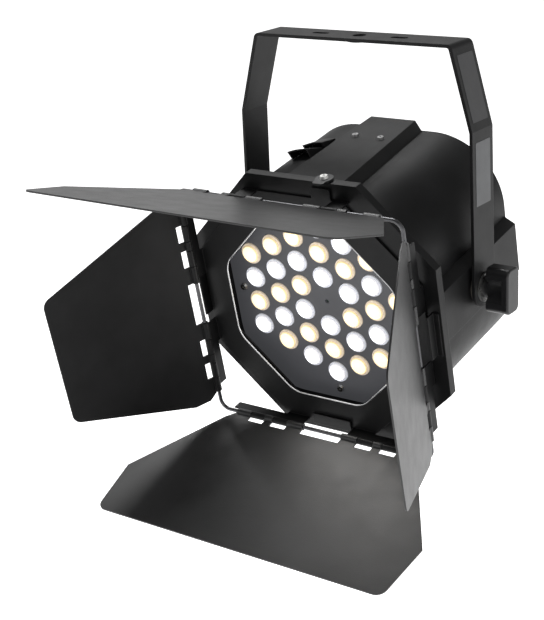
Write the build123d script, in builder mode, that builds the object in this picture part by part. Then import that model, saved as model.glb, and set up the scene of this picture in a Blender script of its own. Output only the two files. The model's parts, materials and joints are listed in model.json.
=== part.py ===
from build123d import *
import os
from math import radians, tan

# LED wash light in a flat-bar yoke, with a four-leaf barn door.
# +Z up, the light faces -Y.  The origin is the top face of the yoke bar, at the
# centre of the clamp bolt hole.  The head is drawn level about its tilt axis and
# then placed by HEAD.  "Ahead" is the distance forward of the tilt axis.

# ---- driving dimensions, mm ----
PIVOT_DROP = 176.3          # clamp face down to the tilt axis
TILT = 10.9                 # nose-down angle of the head at rest
YOKE_WIDTH = 30.0           # flat bar
YOKE_THICK = 2.4
YOKE_PIVOT_X = 101.2        # outer half widths of the yoke
YOKE_BEND_X = 99.6
YOKE_BEND_UP = 116.2        # height of the arm bend above the axis
YOKE_TOP_X = 83.5
SLOT_X = 33.6               # hanging slots in the top bar
SLOT_LENGTH = 14.0
SLOT_WIDTH = 6.0
HANG_BORE_R = 5.1           # clamp bolt hole of the bush
BUSH_LENGTH = 4.0
BODY_FRONT = 64.0           # ahead of the axis
BODY_REAR = -63.0
BODY_FLAT = 87.3            # half height of the shell across its flats
BODY_CORNER = 54.0
SHELL = 1.5                 # sheet thickness
RIDGE_OUT = 96.0            # outer face of the four long channels
RIDGE_HALF = 19.5
RIDGE_FOOT = 24.5
OCT_HALF = 106.0            # front holder, across flats / 2
HOLDER_FLAT_LEFT = 42.4     # half lengths of the holder's two side flats
HOLDER_FLAT_RIGHT = 50.5
HOLDER_FRONT = 71.0
APERTURE_HALF = 74.1        # octagonal window of the barn door plate
APERTURE_CORNER = 20.0
PLATE_FRONT = 72.8
PLATE_HALF = 96.2
PLATE_SIDE = -1.6           # the plate hangs a little low and to one side in its seat
PLATE_DROP = 2.4
LIP_BACK = 75.2             # rear and forward edges of the plate's folded lips
LIP_FRONT = 82.5
SIDE_LIP_END = 75.0
BOTTOM_LIP_END = 86.0
WIRE_AHEAD = 86.0           # hinge wire loop
WIRE_HALF = 95.6
WIRE_R = 1.5
WIRE_CORNER = 8.0
LEAF = 1.2                  # barn door sheet
LEAF_BASE = 0.2             # inner face of a leaf, outward of its wire
SIDE_LEAF_DEPTH = 121.2
SIDE_LEAF_OUTER = 50.9
WIDE_LEAF_DEPTH = 128.2
WIDE_LEAF_MAX = 131.0
WIDE_LEAF_MAX_AT = 81.3
WIDE_LEAF_OUTER = 125.0
LEFT_ANGLE = 22.3           # opening beyond straight ahead
RIGHT_ANGLE = 23.0
TOP_ANGLE = 22.6
BOTTOM_ANGLE = 7.8
LENS_FRONT = 57.7
LENS_ROW = 20.4             # spacing in a column of lenses
LENS_COLUMN = 21.0          # spacing between columns
LENS_R = 8.6
COLUMN_COUNTS = (4, 5, 6, 7, 6, 5, 4)
PIVOT_R = 4.0
KNOB_HEIGHT = 34.0
KNOB_WIDTH = 18.0

HEAD = Location((0, 0, -PIVOT_DROP), (TILT, 0, 0))
WORLD = Location((0, 0, 0))
PIVOT = Location((0, 0, -PIVOT_DROP))
DOOR = HEAD * Location((PLATE_SIDE, 0, -PLATE_DROP))

os.makedirs("parts", exist_ok=True)


def save(builder, name, place=HEAD):
    """Label a finished piece, move it to its place and write its STEP file."""
    piece = builder.part.moved(place)
    piece.label = name
    export_step(piece, f"parts/{name}.step")


def ahead(distance):
    """A plane facing forward, this far ahead of the tilt axis."""
    return Plane.XZ.offset(distance)


def side_plane(sign, distance):
    """A plane facing out to one side; its x runs up and down, its y along the head."""
    return Plane(origin=(sign * distance, 0, 0), x_dir=(0, 1, 0), z_dir=(sign, 0, 0))


def octagon(half):
    """Corner points of a regular octagon with two flats level."""
    c = half * tan(radians(22.5))
    return [(half, -c), (half, c), (c, half), (-c, half), (-half, c), (-half, -c), (-c, -half), (c, -half)]


def section(distance, inset):
    """The shell's rounded square section, drawn in by an inset, as a face at a distance ahead."""
    side = 2 * (BODY_FLAT - inset)
    with BuildSketch(ahead(distance)) as outline:
        RectangleRounded(side, side, BODY_CORNER - inset)
    return outline.sketch


def ridge_points(half, foot, out, base):
    """Section of a long channel, as (across, out) points."""
    return [(-foot, base), (-half, out), (half, out), (foot, base)]


# ---- yoke ----

def yoke_path(inset):
    """Outline of the bent bar at a given distance inside its outer face, pivot ends first."""
    x0, x1, x2 = YOKE_PIVOT_X - inset, YOKE_BEND_X - inset, YOKE_TOP_X - inset
    return [(x0, -PIVOT_DROP - YOKE_WIDTH / 2), (x0, -PIVOT_DROP), (x1, -PIVOT_DROP + YOKE_BEND_UP - 0.3 * inset),
            (x2, -inset), (-x2, -inset), (-x1, -PIVOT_DROP + YOKE_BEND_UP - 0.3 * inset),
            (-x0, -PIVOT_DROP), (-x0, -PIVOT_DROP - YOKE_WIDTH / 2)]


with BuildPart() as yoke:
    with BuildSketch(Plane.XZ.offset(-YOKE_WIDTH / 2)):
        with BuildLine():
            Polyline(*yoke_path(0), close=True)
        make_face()
        with BuildLine():
            inner = yoke_path(YOKE_THICK)
            inner[0] = (inner[0][0], inner[0][1] - 1)
            inner[-1] = (inner[-1][0], inner[-1][1] - 1)
            Polyline(*inner, close=True)
        make_face(mode=Mode.SUBTRACT)
    extrude(amount=YOKE_WIDTH)
    bends = yoke.edges().filter_by(Axis.Y).group_by(Axis.Z)
    fillet(bends[-1], radius=4.5)
    fillet(yoke.edges().filter_by(Axis.Y).filter_by(lambda e: abs(e.center().Z + YOKE_THICK) < 0.01), radius=2.0)
    ends = yoke.edges().filter_by(Axis.X).filter_by(lambda e: e.center().Z < -PIVOT_DROP - 5)
    fillet(ends, radius=YOKE_WIDTH / 2 - 0.6)
    with BuildSketch(Plane.XY):
        with Locations((-SLOT_X, 0), (SLOT_X, 0)):
            SlotOverall(SLOT_LENGTH, SLOT_WIDTH)
        Circle(HANG_BORE_R + 2.0)
    extrude(amount=-YOKE_THICK, mode=Mode.SUBTRACT)
    with BuildSketch(Plane.YZ.offset(-YOKE_PIVOT_X - 1)):
        with Locations((0, -PIVOT_DROP)):
            Circle(PIVOT_R + 0.08)
    extrude(amount=2 * YOKE_PIVOT_X + 2, mode=Mode.SUBTRACT)
save(yoke, "yoke", WORLD)

with BuildPart() as hang_bush:
    with BuildSketch(Plane.XY.offset(-BUSH_LENGTH)):
        Circle(HANG_BORE_R + 2.0)
    extrude(amount=BUSH_LENGTH)
    with BuildSketch(Plane.XY.offset(-BUSH_LENGTH)):
        Circle(HANG_BORE_R + 4.0)
    extrude(amount=BUSH_LENGTH - YOKE_THICK)
    with BuildSketch(Plane.XY.offset(-BUSH_LENGTH)):
        Circle(HANG_BORE_R)
    extrude(amount=BUSH_LENGTH, mode=Mode.SUBTRACT)
save(hang_bush, "hang_bush", WORLD)


def arm_label(name, low, high, width):
    """A blank sticker on the right arm's outer face, between two heights above the axis."""
    rise = PIVOT_DROP - YOKE_BEND_UP
    run = YOKE_BEND_X - YOKE_TOP_X
    upper = low >= YOKE_BEND_UP
    if upper:
        up = Vector(-run, 0, rise).normalized()
        foot = Vector(YOKE_BEND_X, 0, YOKE_BEND_UP - PIVOT_DROP) + up * (low - YOKE_BEND_UP)
    else:
        up = Vector(YOKE_BEND_X - YOKE_PIVOT_X, 0, YOKE_BEND_UP).normalized()
        foot = Vector(YOKE_PIVOT_X, 0, -PIVOT_DROP) + up * low
    out = Vector(up.Z, 0, -up.X)
    with BuildPart() as sticker:
        with BuildSketch(Plane(origin=foot, x_dir=Vector(0, 1, 0), z_dir=out)):
            with Locations((0, (high - low) / 2)):
                RectangleRounded(width, high - low, 1.0)
        extrude(amount=0.15)
    save(sticker, name, WORLD)


arm_label("upper_label", YOKE_BEND_UP + 6, YOKE_BEND_UP + 54, 22)
arm_label("lower_label", 62, 108, 21)

# ---- body shell and its channels ----

with BuildPart() as shell:
    extrude(section(BODY_REAR, 0.0), amount=BODY_FRONT - BODY_REAR)
    extrude(section(BODY_REAR, SHELL), amount=BODY_FRONT - BODY_REAR, mode=Mode.SUBTRACT)
    # wiring and pivot clearance holes in both sides
    with BuildSketch(side_plane(1, -110)):
        Circle(6)
    extrude(amount=220, mode=Mode.SUBTRACT)
save(shell, "body_shell")


def channel(name, angle, rear_half, front_half, screws):
    """A folded channel along the shell, closed at the rear; angle 0 is on top, 90 on the right."""
    turn = Location((0, 0, 0), (0, angle, 0))
    with BuildPart() as ridge:
        for inset in (0.0, SHELL):
            for distance, half in ((BODY_REAR + inset, rear_half), (BODY_FRONT, front_half)):
                with BuildSketch(ahead(distance)):
                    with BuildLine():
                        Polyline(*ridge_points(half - 0.7 * inset, half + RIDGE_FOOT - RIDGE_HALF - inset,
                                               RIDGE_OUT - inset, BODY_FLAT + 0.02 - inset), close=True)
                    make_face()
            loft(mode=Mode.SUBTRACT if inset else Mode.ADD)
        if screws:
            with BuildSketch(Plane.XY.offset(RIDGE_OUT)):
                with Locations((-11, 26), (11, 26)):
                    Circle(1.6)
            extrude(amount=-SHELL, mode=Mode.SUBTRACT)
        else:
            with BuildSketch(Plane.XY.offset(RIDGE_OUT)):
                Circle(PIVOT_R + 0.08)
            extrude(amount=-SHELL - 1, mode=Mode.SUBTRACT)
    save(ridge, name, HEAD * turn)


channel("top_channel", 0, RIDGE_HALF, 25.0, True)
channel("right_channel", 90, RIDGE_HALF, RIDGE_HALF, False)
channel("bottom_channel", 180, RIDGE_HALF, 25.0, True)
channel("left_channel", -90, RIDGE_HALF, RIDGE_HALF, False)


def screws(name, plane, places, place=HEAD, head_r=3.0, shank=6.0):
    """Pan-head screws standing on a plane, all in one node."""
    with BuildPart() as group:
        for x, y in places:
            with BuildSketch(plane):
                with Locations((x, y)):
                    Circle(head_r)
            extrude(amount=1.8, taper=18)
            with BuildSketch(plane.offset(1.8)):
                with Locations((x, y)):
                    Rectangle(0.6 * head_r, 0.5)
                    Rectangle(0.5, 0.6 * head_r)
            extrude(amount=-0.9, mode=Mode.SUBTRACT)
            with BuildSketch(plane):
                with Locations((x, y)):
                    Circle(0.5 * head_r)
            extrude(amount=-shank)
    save(group, name, place)


screws("top_channel_screws", Plane.XY.offset(RIDGE_OUT), [(-11, 26), (11, 26)])

# Two louvres on the upper left shoulder of the shell: curved hoods open to the front, sloping down to the rear.
LOUVRE_FOOT = 0.1
LOUVRE_SHEET = 1.2
LOUVRE_LENGTH = 16.0
LOUVRE_POCKET = 10.0
LOUVRE_TAIL = 0.9           # height left at the rear end


def shoulder_strip(distance, rise, trim):
    """A curved strip along the shell's upper left shoulder, up to a rise above it, shortened at both ends."""
    with BuildSketch(ahead(distance)) as strip:
        Polygon((0, 0), (-77.0 + trim, 120), (-48.5 - trim, 120), align=None)
        for offset, mode in ((LOUVRE_FOOT + rise, Mode.INTERSECT), (LOUVRE_FOOT, Mode.SUBTRACT)):
            side = 2 * (BODY_FLAT + offset)
            RectangleRounded(side, side, BODY_CORNER + offset, mode=mode)
    return strip.sketch


for name, front, height in (("louvre_front", 0.0, 7.0), ("louvre_rear", -18.0, 4.4)):
    roof = height - (height - LOUVRE_TAIL) * LOUVRE_POCKET / LOUVRE_LENGTH
    with BuildPart() as louvre:
        loft([shoulder_strip(front - LOUVRE_LENGTH, LOUVRE_TAIL, 0.0), shoulder_strip(front, height, 0.0)])
        loft([shoulder_strip(front - LOUVRE_POCKET, roof - LOUVRE_SHEET, 2.0),
              shoulder_strip(front, height - LOUVRE_SHEET, 2.0)], mode=Mode.SUBTRACT)
    save(louvre, name)


# ---- light engine ----

lens_places = []
for column, count in enumerate(COLUMN_COUNTS):
    for row in range(count):
        x = (column - 3) * LENS_COLUMN
        z = (row - (count - 1) / 2) * LENS_ROW
        if abs(x) + abs(z) > 1:
            lens_places.append((x, z))

with BuildPart() as lens_plate:
    extrude(section(LENS_FRONT - 3.2, 2.0), amount=2.0)
    with BuildSketch(ahead(LENS_FRONT - 4)):
        with Locations(*lens_places):
            Circle(LENS_R + 0.2)
        with Locations((0, 0), (0, 76), (0, -76), (76, 0), (-76, 0)):
            Circle(1.7)
    extrude(amount=4, mode=Mode.SUBTRACT)
save(lens_plate, "lens_plate")

with BuildPart() as lenses:
    for x, z in lens_places:
        with BuildSketch(ahead(LENS_FRONT - 12)):
            with Locations((x, z)):
                Circle(4.6)
        with BuildSketch(ahead(LENS_FRONT - 2)):
            with Locations((x, z)):
                Circle(LENS_R)
        loft()
        with BuildSketch(ahead(LENS_FRONT - 2)):
            with Locations((x, z)):
                Circle(LENS_R)
        extrude(amount=2, taper=20)
save(lenses, "lenses")

with BuildPart() as led_board:
    extrude(section(LENS_FRONT - 14.6, 5.0), amount=1.6)
save(led_board, "led_board")

with BuildPart() as led_chips:
    with BuildSketch(ahead(LENS_FRONT - 12.95)):
        with Locations(*lens_places):
            Rectangle(3.5, 3.5)
    extrude(amount=0.85)
save(led_chips, "led_chips")

screws("lens_plate_screws", ahead(LENS_FRONT - 1.2), [(0, 76), (0, -76), (76, 0), (-76, 0)])

with BuildPart() as heat_sink:
    extrude(section(LENS_FRONT - 20, 5.0), amount=5.3)
    for step in range(-6, 7):
        x = 11.0 * step
        reach = min(76.0, 128.0 - abs(x) - 4.0)
        with BuildSketch(ahead(LENS_FRONT - 20)):
            with Locations((x, 0)):
                Rectangle(2.0, 2 * reach)
        extrude(amount=-36)
save(heat_sink, "heat_sink")

# ---- electronics ----

with BuildPart() as chassis_tray:
    with BuildSketch(Plane.XY.offset(-31.5)):
        with Locations((0, 33)):
            Rectangle(168, 56)
    extrude(amount=1.5)
save(chassis_tray, "chassis_tray")

with BuildPart() as power_supply:
    with BuildSketch(Plane.XY.offset(-29.9)):
        with Locations((0, 23)):
            RectangleRounded(110, 34, 2)
    extrude(amount=30)
save(power_supply, "power_supply")

CONNECTOR_X = 32.0
DMX_UP = -12.0
POWER_UP = -50.0
DISPLAY_UP = 40.0
BUTTON_UP = 18.0
BUTTON_XS = (-24.0, -8.0, 8.0, 24.0)
REAR_FACE = 65.0
rear = Plane(origin=(0, REAR_FACE, 0), x_dir=(-1, 0, 0), z_dir=(0, 1, 0))
connector_places = [(x, z) for z in (DMX_UP, POWER_UP) for x in (-CONNECTOR_X, CONNECTOR_X)]
panel_screw_places = [(x, z) for x in (-62.0, 62.0) for z in (-62.0, 62.0)] + [(0.0, 76.0), (0.0, -76.0)]

with BuildPart() as rear_panel:
    extrude(section(-REAR_FACE, 0.0), amount=1.9)
    with BuildSketch(rear):
        with Locations(*connector_places):
            Circle(12.2)
        with Locations((0, DISPLAY_UP)):
            RectangleRounded(46.4, 20.4, 1.2)
        with Locations(*[(x, BUTTON_UP) for x in BUTTON_XS]):
            Circle(3.9)
        with Locations((0, POWER_UP)):
            Circle(6.1)
        with Locations((-55, 30), (55, 30)):
            with GridLocations(0, 8.0, 1, 4):
                SlotOverall(22, 3.2)
        with Locations(*panel_screw_places):
            Circle(1.6)
    extrude(amount=-3, mode=Mode.SUBTRACT)
save(rear_panel, "rear_panel")

screws("rear_panel_screws", rear, panel_screw_places)

with BuildPart() as display_window:
    with BuildSketch(rear.offset(-1.8)):
        with Locations((0, DISPLAY_UP)):
            RectangleRounded(46, 20, 1)
    extrude(amount=2.0)
save(display_window, "display_window")

with BuildPart() as control_board:
    with BuildSketch(rear.offset(-8.2)):
        with Locations((0, 32)):
            Rectangle(74, 50)
    extrude(amount=1.6)
    with BuildSketch(rear.offset(-6.6)):
        with Locations((0, DISPLAY_UP)):
            Rectangle(42, 16)
    extrude(amount=4.6)
save(control_board, "control_board")

for number, x in enumerate(BUTTON_XS, start=1):
    with BuildPart() as button:
        with BuildSketch(rear.offset(-3.4)):
            with Locations((x, BUTTON_UP)):
                Circle(4.9)
        extrude(amount=1.0)
        with BuildSketch(rear.offset(-2.4)):
            with Locations((x, BUTTON_UP)):
                Circle(3.6)
        extrude(amount=4.4)
        top = button.faces().sort_by(Axis.Y)[-1]
        fillet(top.edges(), radius=0.8)
    save(button, f"button_{number}")


def connector(name, x, up, well_r, pins, pin_r):
    """A round panel connector: flange and barrel, with pins in a well, or a face of contact holes."""
    with BuildPart() as socket:
        with BuildSketch(rear):
            with Locations((x, up)):
                RectangleRounded(26, 31, 2.5)
        extrude(amount=1.8)
        with BuildSketch(rear):
            with Locations((x - 9.5, up - 12), (x + 9.5, up + 12)):
                Circle(1.2)
        extrude(amount=1.8, mode=Mode.SUBTRACT)
        with BuildSketch(rear):
            with Locations((x, up)):
                Circle(12.0)
        extrude(amount=-20)
        if well_r:
            with BuildSketch(rear.offset(-13)):
                with Locations((x, up)):
                    Circle(well_r)
            extrude(amount=16, mode=Mode.SUBTRACT)
            with BuildSketch(rear.offset(-13)):
                with Locations((x, up)):
                    with PolarLocations(3.6, pins, start_angle=90):
                        Circle(pin_r)
            extrude(amount=8)
        else:
            with BuildSketch(rear.offset(1.8)):
                with Locations((x, up)):
                    Circle(9.8)
                    Circle(8.6, mode=Mode.SUBTRACT)
                    with PolarLocations(3.6, pins, start_angle=90):
                        Circle(pin_r)
            extrude(amount=-10, mode=Mode.SUBTRACT)
    save(socket, name)


connector("dmx_in", -CONNECTOR_X, DMX_UP, 9.5, 3, 1.2)
connector("dmx_out", CONNECTOR_X, DMX_UP, 0, 3, 1.4)
connector("power_in", -CONNECTOR_X, POWER_UP, 10.2, 2, 1.6)
connector("power_out", CONNECTOR_X, POWER_UP, 0, 2, 1.8)

connector_screw_places = [(x + sign * 9.5, z + sign * 12) for x, z in connector_places for sign in (-1, 1)]
screws("connector_screws", rear.offset(1.8), connector_screw_places, head_r=2.2, shank=1.8)

with BuildPart() as fuse_holder:
    with BuildSketch(rear):
        with Locations((0, POWER_UP)):
            Circle(7.5)
    extrude(amount=2.0)
    with BuildSketch(rear.offset(2.0)):
        with Locations((0, POWER_UP)):
            Circle(6.0)
    extrude(amount=6.0, taper=4)
    with BuildSketch(rear.offset(8.0)):
        with Locations((0, POWER_UP)):
            Rectangle(8, 1.4)
    extrude(amount=-1.5, mode=Mode.SUBTRACT)
    with BuildSketch(rear):
        with Locations((0, POWER_UP)):
            Circle(5.9)
    extrude(amount=-22)
save(fuse_holder, "fuse_holder")

# ---- front holder ----

LATCH_X = 23.0
LATCH_AHEAD = 67.2


def holder_outline(inset):
    """Corner points of the holder's octagon, drawn in by an inset; its right corners are cut less than its left."""
    half = OCT_HALF - inset
    left, right = (flat - inset * tan(radians(22.5)) for flat in (HOLDER_FLAT_LEFT, HOLDER_FLAT_RIGHT))
    return [(half, -right), (half, right), (right, half), (-left, half),
            (-half, left), (-half, -left), (-left, -half), (right, -half)]


with BuildPart() as holder:
    with BuildSketch(ahead(BODY_FRONT)):
        Polygon(*holder_outline(0.0), align=None)
        Polygon(*octagon(82.0), align=None, mode=Mode.SUBTRACT)
    extrude(amount=HOLDER_FRONT - BODY_FRONT)
    with BuildSketch(ahead(BODY_FRONT + SHELL)):
        Polygon(*holder_outline(SHELL), align=None)
    extrude(amount=HOLDER_FRONT - BODY_FRONT - 2 * SHELL, mode=Mode.SUBTRACT)
    with BuildSketch(ahead(HOLDER_FRONT - SHELL)):
        Polygon(*octagon(86.0), align=None)
    extrude(amount=2 * SHELL, mode=Mode.SUBTRACT)
    with BuildSketch(Plane.XY.offset(OCT_HALF)):
        with Locations((LATCH_X, -LATCH_AHEAD)):
            Circle(1.65)
    extrude(amount=-2 * SHELL, mode=Mode.SUBTRACT)
save(holder, "holder")

# The barn door plate stands between two side cheeks and drops behind a hooked clip at the bottom.
PLATE_BACK = PLATE_FRONT - 1.5
SEAT = 99.0                 # inner faces of the cheeks and the clip
SEAT_LENGTH = 34.0
cheek = [(-HOLDER_FRONT, SEAT), (-HOLDER_FRONT - 8.5, SEAT), (-HOLDER_FRONT - 8.5, SEAT + 1.3),
         (-HOLDER_FRONT - 1.3, SEAT + 1.3), (-HOLDER_FRONT - 1.3, SEAT + 5.5), (-HOLDER_FRONT, SEAT + 5.5)]
clip = [(-HOLDER_FRONT, SEAT), (-HOLDER_FRONT - 2.7, SEAT), (-HOLDER_FRONT - 2.7, SEAT - 7.5),
        (-HOLDER_FRONT - 4.0, SEAT - 7.5), (-HOLDER_FRONT - 4.0, SEAT + 1.3),
        (-HOLDER_FRONT - 1.3, SEAT + 1.3), (-HOLDER_FRONT - 1.3, SEAT + 5.5), (-HOLDER_FRONT, SEAT + 5.5)]
for name, angle, folds in (("guide_right", 90, cheek), ("guide_bottom", 180, clip), ("guide_left", -90, cheek)):
    with BuildPart() as guide:
        with BuildSketch(Plane.YZ.offset(-SEAT_LENGTH / 2)):
            with BuildLine():
                Polyline(*folds, close=True)
            make_face()
        extrude(amount=SEAT_LENGTH)
    save(guide, name, HEAD * Location((0, 0, 0), (0, angle, 0)))

with BuildPart() as latch:
    with BuildSketch(Plane.XY.offset(OCT_HALF + 0.3)):
        with Locations((LATCH_X, -LATCH_AHEAD)):
            Circle(6.5)
        with Locations((LATCH_X, -LATCH_AHEAD - 4.8)):
            Rectangle(9, 9.6)
    extrude(amount=1.6)
    tip = latch.edges().filter_by(Axis.Z).group_by(Axis.Y)[0]
    fillet(tip, radius=2.0)
    with BuildSketch(Plane.XY.offset(OCT_HALF)):
        with Locations((LATCH_X, -LATCH_AHEAD)):
            Circle(1.75)
    extrude(amount=4, mode=Mode.SUBTRACT)
save(latch, "latch")
screws("latch_screw", Plane.XY.offset(OCT_HALF + 2.0), [(LATCH_X, -LATCH_AHEAD)], head_r=3.2, shank=3.4)

# ---- barn door ----

LUGS = ((32.2, 45.2), (53.4, 66.0))          # plate lugs along each side, both ends alike
KNUCKLES = ((17.6, 31.6), (45.8, 52.8), (66.6, 79.0))
KNUCKLE_R = 2.7
NOTCH = 7.1                 # depth of the gaps between a leaf's knuckles
WEB_START = SEAT_LENGTH / 2 + 3.0
WEB_END = 39.8              # end of the plate's straight side


def both_ways(spans):
    """Spans on both sides of the middle, as (start, length)."""
    return [(start, end - start) for start, end in spans] + [(-end, end - start) for start, end in spans]


with BuildPart() as barn_plate:
    with BuildSketch(ahead(PLATE_BACK)):
        Polygon(*octagon(PLATE_HALF), align=None)
        with Locations((LATCH_X, 99.0)):
            RectangleRounded(16, 11, 2)
    extrude(amount=PLATE_FRONT - PLATE_BACK)
    with BuildSketch(ahead(PLATE_BACK)) as window:
        Polygon(*octagon(APERTURE_HALF), align=None)
        fillet(window.vertices(), radius=APERTURE_CORNER)
    extrude(amount=PLATE_FRONT - PLATE_BACK, mode=Mode.SUBTRACT)
    # webs folded forward on both sides and below carry longer lips, and lugs rolled round the wire;
    # the top has two lugs only
    for turn in (0, 90, 180, 270):
        edge = Plane.XY.rotated((0, turn, 0))
        if turn:
            lugs = both_ways(LUGS)
            lip_end = BOTTOM_LIP_END if turn == 180 else SIDE_LIP_END
            folds = [(lugs, LIP_BACK, WIRE_AHEAD), (both_ways([(WEB_START, WEB_END)]), PLATE_BACK, LIP_FRONT),
                     (both_ways([(WEB_START, lip_end)]), LIP_BACK, LIP_FRONT)]
        else:
            lugs = both_ways(LUGS[:1])
            folds = [(lugs, PLATE_BACK, WIRE_AHEAD)]
        for spans, back, front in folds:
            for start, length in spans:
                with BuildSketch(Plane(origin=edge.from_local_coords(Vector(start, 0, WIRE_HALF)),
                                       x_dir=(0, -1, 0), z_dir=edge.x_dir)):
                    with Locations(((back + front) / 2, 0)):
                        Rectangle(front - back, 2 * (PLATE_HALF - WIRE_HALF))
                extrude(amount=length)
        for start, length in lugs:
            with BuildSketch(Plane(origin=edge.from_local_coords(Vector(start, 0, WIRE_HALF)),
                                   x_dir=(0, -1, 0), z_dir=edge.x_dir)):
                with Locations((WIRE_AHEAD, 0)):
                    Circle(KNUCKLE_R)
            extrude(amount=length)
            with BuildSketch(Plane(origin=edge.from_local_coords(Vector(start, 0, WIRE_HALF)),
                                   x_dir=(0, -1, 0), z_dir=edge.x_dir)):
                with Locations((WIRE_AHEAD, 0)):
                    Circle(WIRE_R + 0.03)
            extrude(amount=length, mode=Mode.SUBTRACT)
save(barn_plate, "barn_plate", DOOR)

with BuildSketch(ahead(WIRE_AHEAD)) as loop_shape:
    RectangleRounded(2 * WIRE_HALF, 2 * WIRE_HALF, WIRE_CORNER)
loop = loop_shape.sketch.face().outer_wire()

with BuildPart() as hinge_wire:
    with BuildSketch(Plane(origin=loop @ 0, z_dir=loop % 0)):
        Circle(WIRE_R)
    sweep(path=loop)
save(hinge_wire, "hinge_wire", DOOR)


def leaf(name, turn, angle, outline):
    """A barn door leaf: sheet with rolled knuckles on the wire, opened outward by an angle."""
    with BuildPart() as door:
        with BuildSketch(Plane.XY.offset(LEAF_BASE)):
            with BuildLine():
                Polyline(*outline, close=True)
            make_face()
            with Locations((0, -NOTCH / 2)):
                Rectangle(2 * KNUCKLES[0][0], NOTCH, mode=Mode.SUBTRACT)
            for (_, left), (right, _) in zip(KNUCKLES, KNUCKLES[1:]):
                for side in (-1, 1):
                    with Locations((side * (left + right) / 2, -NOTCH / 2)):
                        Rectangle(right - left, NOTCH, mode=Mode.SUBTRACT)
            with Locations((0, -WIRE_R / 2)):
                Rectangle(400, WIRE_R, mode=Mode.SUBTRACT)
        extrude(amount=LEAF)
        tips = door.edges().filter_by(Axis.Z).group_by(Axis.Y)[0]
        fillet(tips, radius=8.0)
        for start, length in both_ways(KNUCKLES):
            with BuildSketch(Plane.YZ.offset(start)):
                Circle(KNUCKLE_R)
            extrude(amount=length)
        with BuildSketch(Plane.YZ.offset(-200)):
            Circle(WIRE_R + 0.07)
        extrude(amount=400, mode=Mode.SUBTRACT)
    hinge = Location((0, -WIRE_AHEAD, 0)) * Location((0, 0, 0), (0, turn, 0)) * Location((0, 0, WIRE_HALF))
    save(door, name, DOOR * hinge * Location((0, 0, 0), (-angle, 0, 0)))


def mirrored(points):
    """A closed outline from its right half, given as (along the hinge, depth)."""
    return [(x, -y) for x, y in points] + [(-x, -y) for x, y in reversed(points)]


side_outline = mirrored([(79.0, 0), (85.5, 8.5), (85.5, 22), (SIDE_LEAF_OUTER, SIDE_LEAF_DEPTH)])
wide_outline = mirrored([(79.0, 0), (87.0, 8.5), (WIDE_LEAF_MAX, WIDE_LEAF_MAX_AT),
                         (WIDE_LEAF_OUTER, WIDE_LEAF_DEPTH)])
leaf("leaf_top", 0, TOP_ANGLE, wide_outline)
leaf("leaf_right", 90, RIGHT_ANGLE, side_outline)
leaf("leaf_bottom", 180, BOTTOM_ANGLE, wide_outline)
leaf("leaf_left", -90, LEFT_ANGLE, side_outline)

# ---- tilt clamps ----


def disc(sign, radius, start, end, bore, name, place):
    """A ring on the tilt axis between two distances from the middle, on one side."""
    with BuildPart() as ring:
        with BuildSketch(side_plane(sign, start)):
            Circle(radius)
            if bore:
                Circle(bore, mode=Mode.SUBTRACT)
        extrude(amount=end - start)
    save(ring, name, place)


for side, sign in (("right", 1), ("left", -1)):
    disc(sign, 12.0, RIDGE_OUT + 0.02, 98.5, PIVOT_R + 0.1, f"friction_disc_{side}", HEAD)
    disc(sign, PIVOT_R - 0.04, 86.0, 113.0, 0, f"stud_{side}", PIVOT)
    disc(sign, 11.0, YOKE_PIVOT_X + 0.2, YOKE_PIVOT_X + 1.7, PIVOT_R, f"washer_{side}", PIVOT)

    with BuildPart() as pivot_nut:
        with BuildSketch(side_plane(sign, 88.0)):
            RegularPolygon(7.4, 6)
            Circle(PIVOT_R, mode=Mode.SUBTRACT)
        extrude(amount=6.4)
    save(pivot_nut, f"pivot_nut_{side}")

    with BuildPart() as knob:
        with BuildSketch(side_plane(sign, YOKE_PIVOT_X + 1.8)):
            Circle(8.0)
        extrude(amount=4.0)
        with BuildSketch(side_plane(sign, YOKE_PIVOT_X + 5.0)):
            RectangleRounded(KNOB_WIDTH - 1, KNOB_HEIGHT, 5)
            with Locations((-15.0, 0), (15.0, 0)):
                Circle(11.0, mode=Mode.SUBTRACT)
        extrude(amount=13.0)
        with BuildSketch(side_plane(sign, YOKE_PIVOT_X + 18.0)):
            RectangleRounded(KNOB_WIDTH, KNOB_HEIGHT, 5)
        extrude(amount=5.0)
        outer = knob.faces().sort_by(Axis.X)[-1 if sign > 0 else 0]
        fillet(outer.edges(), radius=1.6)
        with BuildSketch(side_plane(sign, 85.0)):
            Circle(PIVOT_R - 0.03)
        extrude(amount=28.0, mode=Mode.SUBTRACT)
    save(knob, f"knob_{side}", PIVOT)
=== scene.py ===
import json
import math

import bmesh
import bpy
from mathutils import Matrix, Vector


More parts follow.
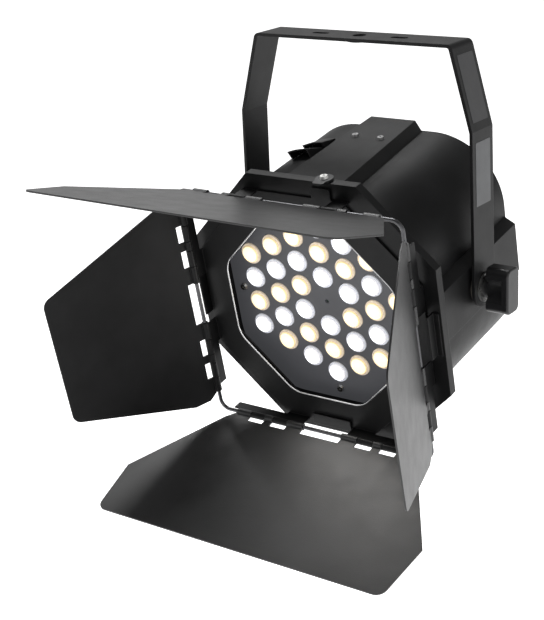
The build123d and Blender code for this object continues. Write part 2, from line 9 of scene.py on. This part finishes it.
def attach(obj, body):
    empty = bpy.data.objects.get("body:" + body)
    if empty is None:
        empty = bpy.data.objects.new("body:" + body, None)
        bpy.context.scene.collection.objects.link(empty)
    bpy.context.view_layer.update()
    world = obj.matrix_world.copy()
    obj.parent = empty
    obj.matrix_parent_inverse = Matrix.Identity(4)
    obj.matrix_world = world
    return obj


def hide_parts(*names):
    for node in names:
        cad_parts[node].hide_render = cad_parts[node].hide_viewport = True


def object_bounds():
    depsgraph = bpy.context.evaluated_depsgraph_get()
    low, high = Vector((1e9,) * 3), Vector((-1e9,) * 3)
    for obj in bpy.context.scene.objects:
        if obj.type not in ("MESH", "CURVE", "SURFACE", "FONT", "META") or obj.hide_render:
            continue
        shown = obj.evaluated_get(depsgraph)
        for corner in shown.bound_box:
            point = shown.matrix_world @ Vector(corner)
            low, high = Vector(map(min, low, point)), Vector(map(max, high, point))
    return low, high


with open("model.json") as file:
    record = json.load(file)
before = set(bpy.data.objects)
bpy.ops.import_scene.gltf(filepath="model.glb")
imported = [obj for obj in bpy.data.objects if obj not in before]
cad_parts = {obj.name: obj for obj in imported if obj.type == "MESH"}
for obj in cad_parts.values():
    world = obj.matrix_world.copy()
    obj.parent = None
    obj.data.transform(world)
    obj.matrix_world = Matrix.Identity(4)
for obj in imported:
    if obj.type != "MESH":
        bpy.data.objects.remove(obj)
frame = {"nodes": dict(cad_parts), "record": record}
cad_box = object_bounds()
nodes = frame["nodes"]
joints = {j["name"]: j for j in frame["record"]["behaviour"]["joints"]}

# ---- places taken from the frame ----

PIVOT = Vector(joints["head_tilt"]["pos_m"])                 # on the tilt axis
HEAD_UP = Vector(joints["latch_turn"]["axis"]).normalized()  # the head's own up, at rest
SIDE = Vector((1, 0, 0))
FORWARD = SIDE.cross(HEAD_UP)                                # along the beam, towards -Y


def head(x, ahead, up):
    """A point given from the tilt axis, in metres: across, ahead along the beam, and up."""
    return PIVOT + SIDE * x + FORWARD * ahead + HEAD_UP * up


# ---- camera ----

AZIMUTH = math.radians(36.71)             # to the right of straight ahead
ELEVATION = math.radians(19.74)
ROLL = math.radians(-3.1)
DISTANCE = 1.1087
AIM = PIVOT + Vector((-0.0534, -0.0521, -0.0275))
FOCAL_MM = 84.2
SENSOR_MM = 36                            # along the picture's long side


def make_camera():
    """The photograph's viewing angle: from the right and a little above, with a slight roll."""
    back = Vector((math.sin(AZIMUTH) * math.cos(ELEVATION),
                   -math.cos(AZIMUTH) * math.cos(ELEVATION), math.sin(ELEVATION)))
    right = Vector((math.cos(AZIMUTH), math.sin(AZIMUTH), 0))
    up = back.cross(right)
    c, s = math.cos(ROLL), math.sin(ROLL)
    axes = Matrix((right * c + up * s, up * c - right * s, back)).transposed()
    data = bpy.data.cameras.new("camera")
    data.lens = FOCAL_MM
    data.sensor_width = SENSOR_MM
    camera = bpy.data.objects.new("camera", data)
    camera.matrix_world = Matrix.Translation(AIM + back * DISTANCE) @ axes.to_4x4()
    bpy.context.scene.collection.objects.link(camera)
    bpy.context.scene.camera = camera


make_camera()

# ---- mesh helpers ----


def link_mesh(name, bm, *materials):
    """Turns a bmesh into a linked object with these materials."""
    mesh = bpy.data.meshes.new(name)
    bm.to_mesh(mesh)
    bm.free()
    for mat in materials:
        mesh.materials.append(mat)
    piece = bpy.data.objects.new(name, mesh)
    bpy.context.scene.collection.objects.link(piece)
    return piece


def bridge(bm, low, high):
    """Smooth quads between two rings of as many points, as a list."""
    faces = []
    for i in range(len(low)):
        j = (i + 1) % len(low)
        face = bm.faces.new((low[i], low[j], high[j], high[i]))
        face.smooth = True
        faces.append(face)
    return faces


# ---- stage: floor, room and soft light ----

FLOOR_GAP = 0.25                          # the object hangs this far above the floor
FLOOR_REACH = 30                          # from the floor's middle to each edge
FLOOR_PALE = 0.95
FLOOR_ROUGH = 0.9
FLOOR_GLOW = 1.0                          # the floor shines of itself, like a light table
WHITE = (1, 1, 1, 1)
HORIZON_LIGHT = 0.99                      # the room is pale low down and dimmer overhead
OVERHEAD_LIGHT = 0.25
HORIZON_RISE = 0.35                       # sine of the height where the room is dimmest
# The panel lights, as (name, place from the tilt axis, width, watts).
PANEL_LIGHTS = (
    ("overhead_right", (-0.62, 0.48, 1.45), 0.8, 20),
    ("front_left", (-1.3, -1.5, 0.7), 0.7, 1.6),
    ("right", (1.5, -0.5, 0.9), 0.8, 2.5),
)


def make_floor():
    """A pale glowing floor under the hanging object."""
    bm = bmesh.new()
    bmesh.ops.create_grid(bm, x_segments=1, y_segments=1, size=FLOOR_REACH)
    mat = bpy.data.materials.new("floor")
    mat.use_nodes = True
    shader = mat.node_tree.nodes["Principled BSDF"]
    shader.inputs["Base Color"].default_value = (FLOOR_PALE, FLOOR_PALE, FLOOR_PALE, 1)
    shader.inputs["Roughness"].default_value = FLOOR_ROUGH
    shader.inputs["Specular IOR Level"].default_value = 0.0
    shader.inputs["Emission Color"].default_value = WHITE
    shader.inputs["Emission Strength"].default_value = FLOOR_GLOW
    floor = link_mesh("floor", bm, mat)
    floor.location = (0, 0, cad_box[0].z - FLOOR_GAP)


def make_room():
    """A plain room that fades from pale at the horizon to grey overhead."""
    world = bpy.data.worlds.new("room")
    bpy.context.scene.world = world
    world.use_nodes = True
    tree = world.node_tree
    room = tree.nodes["Background"]
    room.inputs["Color"].default_value = WHITE
    coords = tree.nodes.new("ShaderNodeTexCoord")
    split = tree.nodes.new("ShaderNodeSeparateXYZ")
    fade = tree.nodes.new("ShaderNodeMapRange")
    fade.inputs["From Max"].default_value = HORIZON_RISE
    fade.inputs["To Min"].default_value = HORIZON_LIGHT
    fade.inputs["To Max"].default_value = OVERHEAD_LIGHT
    tree.links.new(coords.outputs["Generated"], split.inputs["Vector"])
    tree.links.new(split.outputs["Z"], fade.inputs["Value"])
    tree.links.new(fade.outputs["Result"], room.inputs["Strength"])


def area_light(name, shape, size, power, place, direction):
    """A soft light that shines along a direction and is not seen itself."""
    data = bpy.data.lights.new(name, "AREA")
    data.shape = shape
    data.size = size
    data.energy = power
    light = bpy.data.objects.new(name, data)
    light.location = place
    light.rotation_euler = direction.to_track_quat("-Z", "Y").to_euler()
    light.visible_camera = False
    bpy.context.scene.collection.objects.link(light)
    return light


make_floor()
make_room()
for light_name, offset, width, watts in PANEL_LIGHTS:
    area_light(light_name, "SQUARE", width, watts, PIVOT + Vector(offset), -Vector(offset))
bpy.context.scene.view_settings.view_transform = "Standard"

# ---- material helpers ----

RAMP_FROM, RAMP_TO = 0.3, 0.7             # the middle part of a noise's values, where it varies
BEVEL_SAMPLES = 4
EDGE_RADIUS = 0.0007                      # how far wear reaches from an edge
UNWORN, WORN = 0.99, 0.80                 # cosine of the angle from the face to the rounded edge


def new_material(name):
    """A material with its node tree, its Principled shader and object coordinates."""
    mat = bpy.data.materials.new(name)
    mat.use_nodes = True
    tree = mat.node_tree
    coords = tree.nodes.new("ShaderNodeTexCoord")
    return mat, tree, tree.nodes["Principled BSDF"], coords.outputs["Object"]


def noise(tree, where, scale, detail):
    """A noise texture's value."""
    node = tree.nodes.new("ShaderNodeTexNoise")
    node.inputs["Scale"].default_value = scale
    node.inputs["Detail"].default_value = detail
    tree.links.new(where, node.inputs["Vector"])
    return node.outputs["Fac"]


def ramp(tree, value, low, high):
    """A colour that runs from low to high over a value."""
    node = tree.nodes.new("ShaderNodeValToRGB")
    first, last = node.color_ramp.elements
    first.position, last.position = RAMP_FROM, RAMP_TO
    first.color, last.color = (*low, 1), (*high, 1)
    tree.links.new(value, node.inputs["Fac"])
    return node.outputs["Color"]


def span(tree, value, low, high):
    """A value stretched from 0..1 to a range."""
    node = tree.nodes.new("ShaderNodeMapRange")
    node.inputs["To Min"].default_value = low
    node.inputs["To Max"].default_value = high
    tree.links.new(value, node.inputs["Value"])
    return node.outputs["Result"]


def product(tree, first, second):
    """Two values multiplied."""
    node = tree.nodes.new("ShaderNodeMath")
    node.operation = "MULTIPLY"
    tree.links.new(first, node.inputs[0])
    tree.links.new(second, node.inputs[1])
    return node.outputs[0]


def blend_colour(tree, factor, under, over):
    """One colour laid over another by a factor."""
    node = tree.nodes.new("ShaderNodeMix")
    node.data_type = "RGBA"
    tree.links.new(factor, node.inputs["Factor"])
    tree.links.new(under, node.inputs["A"])
    node.inputs["B"].default_value = (*over, 1)
    return node.outputs["Result"]


def bump(tree, shader, height, distance, rounding=None):
    """Bump from a height map, over rounded edges where given."""
    node = tree.nodes.new("ShaderNodeBump")
    node.inputs["Distance"].default_value = distance
    tree.links.new(height, node.inputs["Height"])
    if rounding:
        tree.links.new(rounding, node.inputs["Normal"])
    tree.links.new(node.outputs["Normal"], shader.inputs["Normal"])


def edge_wear(tree):
    """How near a sharp edge a point is, 0 to 1, and the normal rounded over that edge."""
    rounded = tree.nodes.new("ShaderNodeBevel")
    rounded.samples = BEVEL_SAMPLES
    rounded.inputs["Radius"].default_value = EDGE_RADIUS
    flat = tree.nodes.new("ShaderNodeNewGeometry")
    dot = tree.nodes.new("ShaderNodeVectorMath")
    dot.operation = "DOT_PRODUCT"
    tree.links.new(rounded.outputs["Normal"], dot.inputs[0])
    tree.links.new(flat.outputs["Normal"], dot.inputs[1])
    node = tree.nodes.new("ShaderNodeMapRange")
    node.inputs["From Min"].default_value = UNWORN
    node.inputs["From Max"].default_value = WORN
    tree.links.new(dot.outputs["Value"], node.inputs["Value"])
    return node.outputs["Result"], rounded.outputs["Normal"]


def grey(level):
    """A grey with a trace of blue."""
    return (level, level, level * 1.04)


def dimmed(colour, share):
    """A colour at a share of its brightness."""
    return tuple(share * c for c in colour)


# ---- kinds of finish; noise scales are in cycles a metre, bump heights in metres ----

COAT_MOTTLE, COAT_GLOSS, COAT_GRAIN = 28, 70, 1500
COAT_GRAIN_HEIGHT = 0.00007
WEAR_PATCHES = 160
WEAR_LEAST = 0.2                          # an edge is never quite without wear
WEAR_GREY = 0.05
MOULD_MOTTLE, MOULD_GLOSS = 60, 140
DRAWN_LINES = 400
DRAWN_DEPTH = 0.00002
LENS_MOTTLE, LENS_PEBBLE = 500, 1200
LENS_PEBBLE_HEIGHT = 0.00008
LENS_ROUGH = 0.25


def powder_coat(name, dark, light, rough, specular):
    """Fine-textured black powder coat: mottled, grained, with paler rubbed edges."""
    mat, tree, shader, where = new_material(name)
    base = ramp(tree, noise(tree, where, COAT_MOTTLE, 5), grey(dark), grey(light))
    worn, rounded = edge_wear(tree)
    patches = span(tree, noise(tree, where, WEAR_PATCHES, 3), WEAR_LEAST, 1.0)
    patchy = product(tree, worn, patches)
    tree.links.new(blend_colour(tree, patchy, base, grey(WEAR_GREY)), shader.inputs["Base Color"])
    gloss = span(tree, noise(tree, where, COAT_GLOSS, 4), rough - 0.07, rough + 0.07)
    tree.links.new(gloss, shader.inputs["Roughness"])
    shader.inputs["Specular IOR Level"].default_value = specular
    bump(tree, shader, noise(tree, where, COAT_GRAIN, 2), COAT_GRAIN_HEIGHT, rounded)
    return mat


def moulded(name, colour, rough, grain_scale=900, grain=0.00004, specular=0.4):
    """Moulded plastic or film: slightly mottled, with a fine grain."""
    mat, tree, shader, where = new_material(name)
    base = ramp(tree, noise(tree, where, MOULD_MOTTLE, 3), dimmed(colour, 0.8), colour)
    tree.links.new(base, shader.inputs["Base Color"])
    gloss = span(tree, noise(tree, where, MOULD_GLOSS, 3), rough - 0.05, rough + 0.06)
    tree.links.new(gloss, shader.inputs["Roughness"])
    shader.inputs["Specular IOR Level"].default_value = specular
    bump(tree, shader, noise(tree, where, grain_scale, 2), grain)
    return mat


def metal(name, colour, rough, stretch=(1, 1, 1)):
    """Bare or plated metal with drawn lines."""
    mat, tree, shader, where = new_material(name)
    mapping = tree.nodes.new("ShaderNodeMapping")
    mapping.inputs["Scale"].default_value = stretch
    tree.links.new(where, mapping.inputs["Vector"])
    lines = noise(tree, mapping.outputs["Vector"], DRAWN_LINES, 3)
    tree.links.new(ramp(tree, lines, dimmed(colour, 0.75), colour), shader.inputs["Base Color"])
    tree.links.new(span(tree, lines, rough - 0.06, rough + 0.08), shader.inputs["Roughness"])
    shader.inputs["Metallic"].default_value = 1.0
    bump(tree, shader, lines, DRAWN_DEPTH)
    return mat


def lit(name, colour, strength):
    """A glowing lens face, with the fine pebble of a diffusing lens."""
    mat, tree, shader, where = new_material(name)
    base = ramp(tree, noise(tree, where, LENS_MOTTLE, 2), dimmed(colour, 0.8), colour)
    tree.links.new(base, shader.inputs["Base Color"])
    shader.inputs["Roughness"].default_value = LENS_ROUGH
    shader.inputs["Emission Color"].default_value = (*colour, 1)
    shader.inputs["Emission Strength"].default_value = strength
    bump(tree, shader, noise(tree, where, LENS_PEBBLE, 1), LENS_PEBBLE_HEIGHT)
    return mat


# ---- the materials ----

POWDER = powder_coat("powder_coat", 0.0045, 0.010, rough=0.46, specular=0.2)
# Painted light: the same powder coat made lighter and glossier for the top, right and bottom
# leaves, which catch more light.
LEAF_COAT_PAINTED_LIGHTER = powder_coat("leaf_coat_painted_lighter", 0.008, 0.015, rough=0.44, specular=0.65)
# The yoke's own coat; on the left leaf it is painted shade, darker than the other leaves.
YOKE_AND_SHADED_LEAF_COAT = powder_coat("yoke_coat_and_leaf_painted_shade", 0.005, 0.011, rough=0.46, specular=0.2)
PLASTIC = moulded("black_plastic", (0.014, 0.014, 0.015), 0.36)
ZINC = metal("zinc", (0.72, 0.72, 0.70), 0.28)
DULL_ZINC = metal("dull_zinc", (0.22, 0.22, 0.22), 0.45)
# Painted highlight: bright metal for the bead that stands in for the lit edge of the door plate's
# window.
BEAD_HIGHLIGHT = metal("painted_window_edge_highlight", (0.55, 0.55, 0.56), 0.35)
ALUMINIUM = metal("aluminium", (0.75, 0.76, 0.78), 0.35, stretch=(1, 0.1, 1))
WIRE = metal("black_wire", (0.11, 0.11, 0.115), 0.3)
DARK_LABEL = moulded("dark_label_film", (0.028, 0.028, 0.03), 0.4, grain_scale=300)
GREY_LABEL = moulded("grey_label_film", (0.085, 0.088, 0.092), 0.42, grain_scale=300)
CIRCUIT = moulded("solder_mask", (0.02, 0.10, 0.045), 0.3)
WINDOW = moulded("smoked_window", (0.008, 0.009, 0.012), 0.12,
                 grain_scale=50, grain=0.00001, specular=0.5)
FIBRE = moulded("friction_fibre", (0.10, 0.09, 0.08), 0.8, grain_scale=700, grain=0.0001)
LIT_WHITE = lit("lit_lens_white", (1.0, 0.98, 0.97), 2.6)
LIT_WARM = lit("lit_lens_warm", (1.0, 0.80, 0.45), 1.6)
HALO_WHITE = lit("lens_halo_white", (0.97, 0.96, 1.0), 0.55)
HALO_WARM = lit("lens_halo_warm", (1.0, 0.78, 0.45), 0.5)
EDGE_WHITE = lit("lens_edge_white", (0.9, 0.92, 1.0), 0.2)
EDGE_WARM = lit("lens_edge_warm", (1.0, 0.84, 0.66), 0.17)
# The plate behind the lenses glows faintly with the light that they scatter back.
SATIN = moulded("lens_plate_black", (0.05, 0.05, 0.055), 0.35)
SCATTER_COLOUR = (0.9, 0.92, 1.0, 1)
SCATTER = 0.045
scattering = SATIN.node_tree.nodes["Principled BSDF"]
scattering.inputs["Emission Color"].default_value = SCATTER_COLOUR
scattering.inputs["Emission Strength"].default_value = SCATTER

SLOT_MATERIALS = {
    "black_powder": POWDER,
    "label": GREY_LABEL,
    "zinc_screw": ZINC,
    "black_plastic": PLASTIC,
    "circuit": CIRCUIT,
    "bare_aluminium": ALUMINIUM,
    "supply_case": ZINC,
    "window": WINDOW,
    "fibre": FIBRE,
    "lens_black": SATIN,
    "wire_black": WIRE,
    "lens_clear": EDGE_WHITE,
    "led_glow": EDGE_WARM,
}


def paint(mat, *names):
    """Puts one material on whole CAD nodes."""
    for name in names:
        mesh = nodes[name].data
        mesh.materials.clear()
        mesh.materials.append(mat)


slot_of = {s["node"]: s["material_slot"] for s in frame["record"]["subparts"]}
for node_name in nodes:
    paint(SLOT_MATERIALS[slot_of[node_name]], node_name)
# Painted light: three leaves wear the lighter copy of the powder coat.
paint(LEAF_COAT_PAINTED_LIGHTER, "leaf_top", "leaf_right", "leaf_bottom")
paint(YOKE_AND_SHADED_LEAF_COAT, "yoke", "leaf_left")     # painted shade: the left leaf wears the darker yoke coat instead of the leaf coat, as dark as the yoke
paint(DARK_LABEL, "upper_label")
paint(DULL_ZINC, "top_channel_screws")

# ---- lit lenses ----

COLUMN_COUNTS = (4, 5, 6, 7, 6, 5, 4)     # left to right; the middle lens of all is missing
FIRST_WARM = (0, 0, 0, 1, 1, 0, 1)        # each column's uppermost warm lens; every second is warm
COLUMN_STEP = 0.0210
ROW_STEP = 0.0204
LENS_TURNS = 40
RIM, HALO, LIT = 0, 1, 2
# A lens in section, as (radius, ahead of the tilt axis, what the band up to there is):
# the rim, its groove, then the domed face.
LENS_SECTION = (
    (0.0084, 0.0552, RIM), (0.0085, 0.0567, RIM), (0.0083, 0.0573, RIM), (0.0079, 0.0574, RIM),
    (0.0077, 0.0571, RIM), (0.0070, 0.0577, RIM), (0.0062, 0.0588, HALO), (0.0054, 0.0595, LIT),
    (0.0044, 0.0600, LIT), (0.0028, 0.0605, LIT), (0.0011, 0.0607, LIT),
)
# In pairs, cool white then warm, for the rim, the halo and the lit middle.
LENS_MATERIALS = (EDGE_WHITE, EDGE_WARM, HALO_WHITE, HALO_WARM, LIT_WHITE, LIT_WARM)
BEAM_SIZE = 0.14
BEAM_POWER = 0.15
BEAM_AHEAD = 0.062                        # just in front of the lenses


def add_lens(bm, x, up, warm):
    """One domed lens cap, closed at the back."""
    rings = []
    for radius, depth, _ in LENS_SECTION:
        ring = []
        for turn in range(LENS_TURNS):
            angle = math.tau * turn / LENS_TURNS
            place = head(x + radius * math.cos(angle), depth, up + radius * math.sin(angle))
            ring.append(bm.verts.new(place))
        rings.append(ring)
    for low, high, (_, _, zone) in zip(rings, rings[1:], LENS_SECTION[1:]):
        for face in bridge(bm, low, high):
            face.material_index = 2 * zone + warm
    cap = bm.faces.new(rings[-1])
    cap.material_index = 2 * LIT + warm
    cap.smooth = True
    bm.faces.new(reversed(rings[0]))


def make_lenses():
    """Thirty-six domed lens caps, warm and white by turns, as one mesh."""
    bm = bmesh.new()
    middle = len(COLUMN_COUNTS) // 2
    for column, count in enumerate(COLUMN_COUNTS):
        x = (column - middle) * COLUMN_STEP
        for place in range(count):
            if column == middle and place == count // 2:
                continue
            up = ((count - 1) / 2 - place) * ROW_STEP
            add_lens(bm, x, up, int(place % 2 == FIRST_WARM[column]))
    bmesh.ops.recalc_face_normals(bm, faces=bm.faces)
    piece = link_mesh("lens_caps", bm, *LENS_MATERIALS)
    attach(piece, "head")
    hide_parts("lenses")
    return piece


lens_caps = make_lenses()
# The light that the lenses throw forward on the leaves; it rides with the lenses.
beam = area_light("beam", "DISK", BEAM_SIZE, BEAM_POWER, head(0, BEAM_AHEAD, 0), FORWARD)
beam.parent = lens_caps

# ---- bead round the door plate's window: a painted highlight on its lit edge ----

WINDOW_SIDES = 8
WINDOW_HALF = 0.0741                      # half the window across its flats
WINDOW_CORNER = 0.020                     # the radius of its corners
CORNER_STEPS = 8
DOOR_SIDE = -0.0016                       # how the door plate sits in its guides
DOOR_DROP = 0.0024
BEAD_AHEAD = 0.0726
BEAD_R = 0.0005
BEAD_SIDES = 8


def window_outline():
    """The window's rounded octagon: (across, up) points, and the outward direction at each."""
    points = []
    turn = math.tau / WINDOW_SIDES
    reach = (WINDOW_HALF - WINDOW_CORNER) / math.cos(turn / 2)
    for corner in range(WINDOW_SIDES):
        middle = turn * (corner + 0.5)
        for step in range(CORNER_STEPS + 1):
            angle = middle - turn / 2 + turn * step / CORNER_STEPS
            out = Vector((math.cos(angle), math.sin(angle)))
            centre = Vector((math.cos(middle), math.sin(middle))) * reach
            points.append((centre + out * WINDOW_CORNER, out))
    return points


def make_highlight_bead():
    """A thin bright bead along the window's edge: a painted highlight where the edge catches the
    lenses' light.
    """
    bm = bmesh.new()
    rings = []
    for place, out in window_outline():
        ring = []
        for side in range(BEAD_SIDES):
            angle = math.tau * side / BEAD_SIDES
            spot = place + out * BEAD_R * math.cos(angle)
            ahead = BEAD_AHEAD + BEAD_R * math.sin(angle)
            ring.append(bm.verts.new(head(DOOR_SIDE + spot.x, ahead, spot.y - DOOR_DROP)))
        rings.append(ring)
    for low, high in zip(rings, rings[1:] + rings[:1]):
        bridge(bm, low, high)
    bmesh.ops.recalc_face_normals(bm, faces=bm.faces)
    piece = link_mesh("window_highlight_bead", bm, BEAD_HIGHLIGHT)
    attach(piece, "head")


make_highlight_bead()
